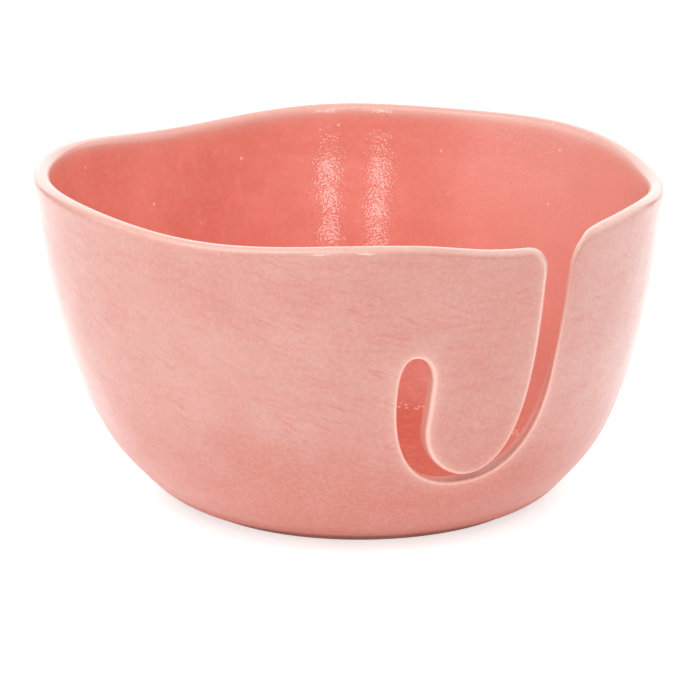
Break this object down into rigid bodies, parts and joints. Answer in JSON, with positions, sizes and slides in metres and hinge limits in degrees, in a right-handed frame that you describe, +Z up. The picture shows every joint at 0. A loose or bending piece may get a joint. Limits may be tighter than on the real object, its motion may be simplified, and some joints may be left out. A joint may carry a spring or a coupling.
{
  "type": "yarn bowl",
  "caption": "Glazed stoneware yarn bowl: a wide round bowl on a low foot, with a J-shaped slot cut down through its wall to feed and hold the yarn.",
  "frame": {"origin": "on the table, under the middle of the lip", "axes": "+Z up, -Y out through the wall square to the J-shaped slot, +X to the right when facing the slot from outside"},
  "size_m": [0.1617, 0.158, 0.0851],
  "materials": {
    "bare_clay": "unglazed fired stoneware, fine and matt, seen only under the foot",
    "coral_glaze": "glossy coral glaze with a fine orange-peel skin and a few pinholes",
    "pink_glaze": "satin-gloss pink glaze over shallow slanting tool marks, breaking pale on the lip and along the slot"
  },
  "bodies": {
    "root": {"clay_body": "bare_clay", "foot_ring": "bare_clay", "inner_glaze": "coral_glaze", "outer_glaze": "pink_glaze"}
  },
  "joints": []
}
